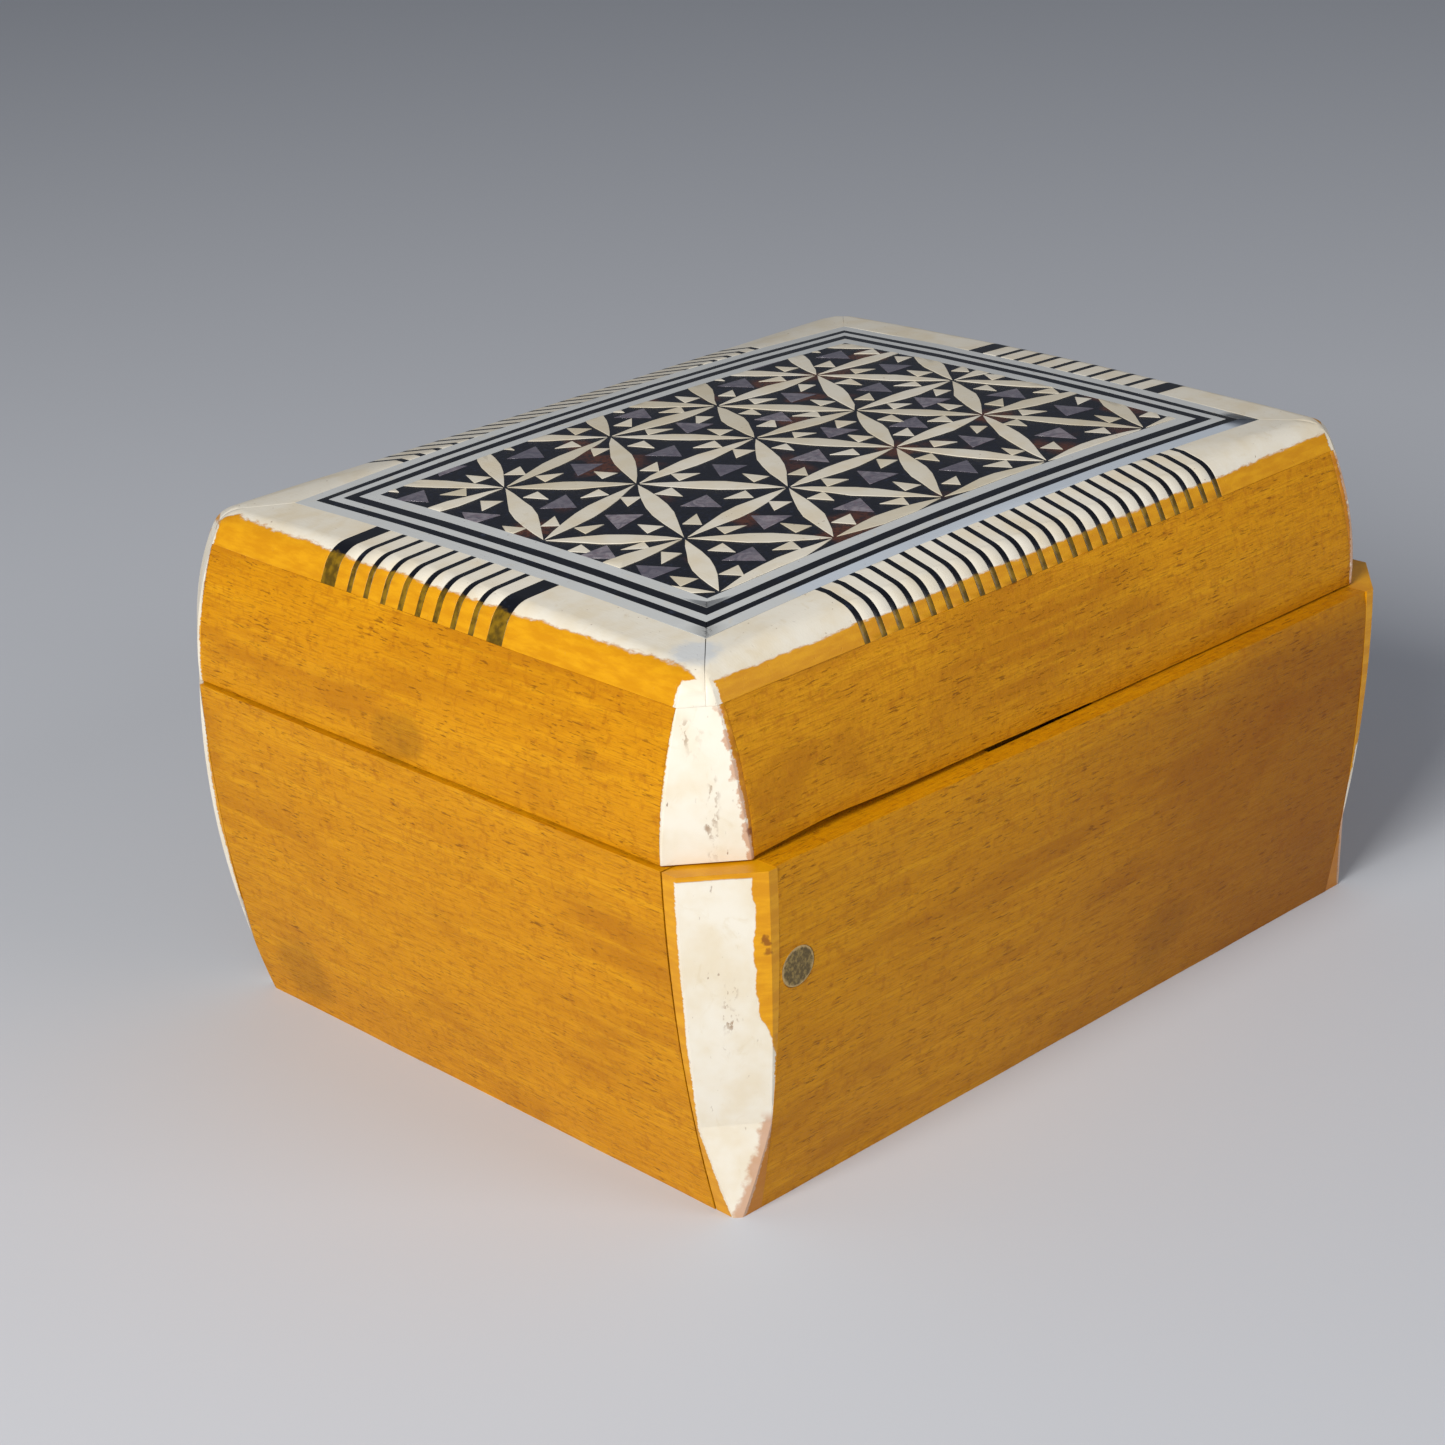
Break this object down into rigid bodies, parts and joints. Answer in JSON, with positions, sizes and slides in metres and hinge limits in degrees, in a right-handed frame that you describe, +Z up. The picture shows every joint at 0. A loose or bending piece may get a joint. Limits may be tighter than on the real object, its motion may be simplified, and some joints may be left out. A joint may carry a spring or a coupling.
{
  "type": "puzzle box",
  "caption": "Small bulged beech trick box with bone, pearl and mastic star inlay on a hinged lid, a sliding front panel and a drop end panel.",
  "frame": {"origin": "on the resting plane, under the middle of the closed lid", "axes": "+X along the long side, -Y out of the sliding front, +Z up"},
  "size_m": [0.094, 0.0766, 0.0509],
  "materials": {
    "stained_beech": "yellow-ochre stained beech, satin varnish",
    "raw_wood": "plain planed wood",
    "dark_dowel": "end grain darkened by glue",
    "bone": "polished bone",
    "black_horn": "polished black wood or horn",
    "grey_pearl": "dark mother-of-pearl",
    "black_mastic": "polished black mastic",
    "brass": "plain brass",
    "velvet": "short red velvet"
  },
  "bodies": {
    "base": {"back_board": "stained_beech", "base_bottom": "raw_wood", "base_hinge_leaves": "brass", "base_hinge_screws": "brass", "base_strip_back_left": "bone", "base_strip_back_right": "bone", "end_slide_rail": "raw_wood", "front_slide_rail": "raw_wood", "hinge_pins": "brass", "inner_front_wall": "raw_wood", "inner_left_wall": "raw_wood", "lining_floor": "velvet", "lining_walls": "velvet", "right_end_board": "stained_beech"},
    "end_panel": {"end_panel": "stained_beech", "lock_key": "raw_wood"},
    "front_panel": {"front_panel": "stained_beech", "base_strip_front_left": "bone", "base_strip_front_right": "bone", "stop_dowel": "dark_dowel"},
    "lid": {"border_back": "bone", "border_front": "bone", "border_left": "bone", "border_right": "bone", "lid_back_rail": "stained_beech", "lid_catch_pin": "brass", "lid_front_rail": "stained_beech", "lid_hinge_leaves": "brass", "lid_hinge_screws": "brass", "lid_left_rail": "stained_beech", "lid_lining": "velvet", "lid_right_rail": "stained_beech", "lid_strip_back_left": "bone", "lid_strip_back_right": "bone", "lid_strip_front_left": "bone", "lid_strip_front_right": "bone", "lid_top_board": "raw_wood", "mosaic_backing": "raw_wood", "mosaic_mastic": "black_mastic", "mosaic_pearl": "grey_pearl", "mosaic_petals": "bone", "mosaic_triangles": "bone", "slips_black_back": "black_horn", "slips_black_front": "black_horn", "slips_black_left": "black_horn", "slips_black_right": "black_horn", "slips_white_back": "bone", "slips_white_front": "bone", "slips_white_left": "bone", "slips_white_right": "bone", "stringing_black": "black_horn", "stringing_white": "bone"}
  },
  "joints": [
    {"name": "end_panel_drop", "type": "slide", "parent": "base", "child": "end_panel", "axis": [0, 0, -1], "range_m": [0, 0.006]},
    {"name": "front_panel_slide", "type": "slide", "parent": "base", "child": "front_panel", "axis": [1, 0, 0], "range_m": [0, 0.01]},
    {"name": "lid_hinge", "type": "hinge", "parent": "base", "child": "lid", "pos_m": [0, 0.0363, 0.0334], "axis": [-1, 0, 0], "range_deg": [0, 94]}
  ]
}
